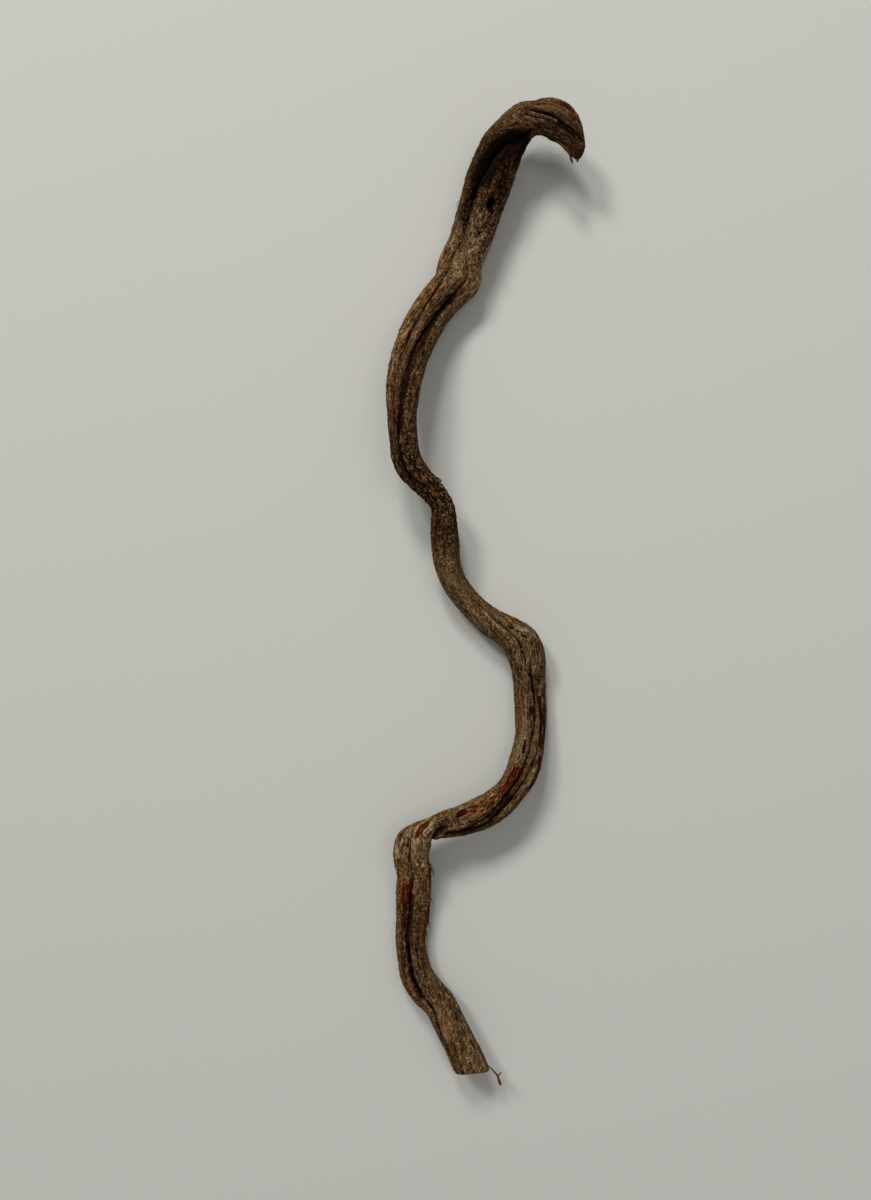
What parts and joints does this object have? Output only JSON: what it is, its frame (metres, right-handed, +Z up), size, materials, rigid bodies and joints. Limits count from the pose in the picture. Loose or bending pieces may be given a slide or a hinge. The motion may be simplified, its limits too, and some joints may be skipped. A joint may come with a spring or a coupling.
{
  "type": "twisted liana vine",
  "caption": "Weathered stem of a twisting liana with furrowed bark, hooked and broken off at one end and sawn across at the other, lying on its side.",
  "frame": {"origin": "on the ground, under the middle of the box around the lying stem", "axes": "+Z up from the ground, +Y along the stem's length towards the hooked end, -Y towards the sawn foot, +X towards the side that the tip of the hook is on"},
  "size_m": [0.302, 1.4964, 0.0877],
  "materials": {
    "bark": "rough"
  },
  "bodies": {
    "root": {"liana_vine": "bark"}
  },
  "joints": []
}
